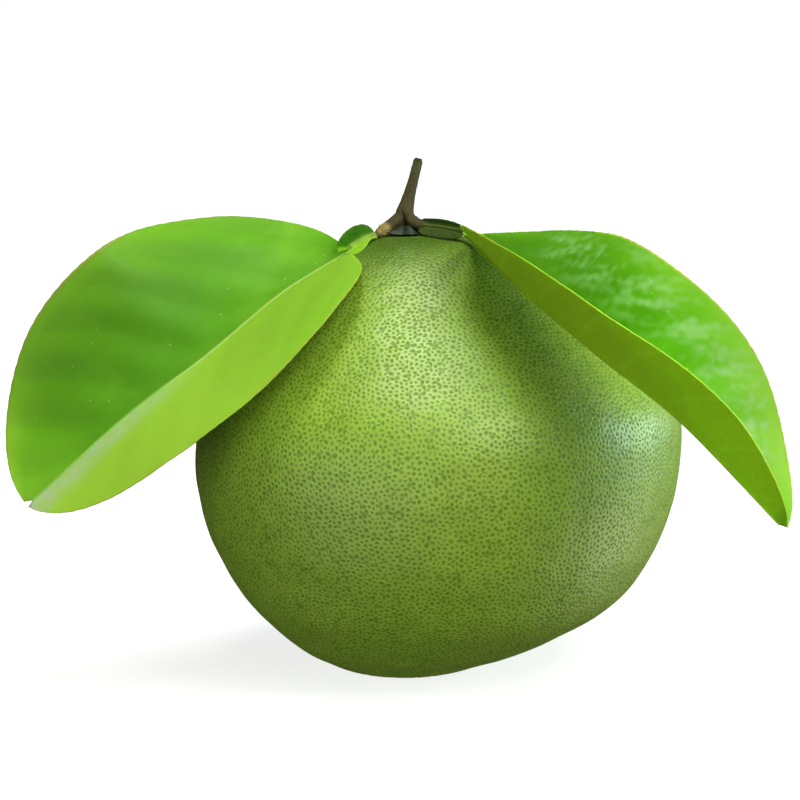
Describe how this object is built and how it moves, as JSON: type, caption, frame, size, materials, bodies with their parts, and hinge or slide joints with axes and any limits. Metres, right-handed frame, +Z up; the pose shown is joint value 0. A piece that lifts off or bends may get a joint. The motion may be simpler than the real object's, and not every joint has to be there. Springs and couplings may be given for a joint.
{
  "type": "pomelo with twig and two leaves",
  "caption": "Whole unpeeled green pomelo as picked, slightly pear-shaped and finely pitted, with its calyx, a short forked twig and folded glossy leaves on winged petioles.",
  "frame": {"origin": "on the surface it rests on, inside the fruit's small flat spot and under its centre of mass", "axes": "+Z up, -Y towards the viewer's side that both leaves lean to, +X towards the narrower right leaf"},
  "size_m": [0.2405, 0.2073, 0.1677],
  "materials": {
    "rind": "waxy satin, pitted by oil glands",
    "calyx": "smooth satin",
    "twig_bark": "matte fine bark",
    "petiole": "satin, finely ribbed",
    "leaf_blade": "glossy waxed upper face, matte under face"
  },
  "bodies": {
    "root": {"fruit": "rind", "calyx": "calyx", "twig": "twig_bark", "left_petiole": "petiole", "right_petiole": "petiole", "left_leaf": "leaf_blade", "right_leaf": "leaf_blade"}
  },
  "joints": []
}
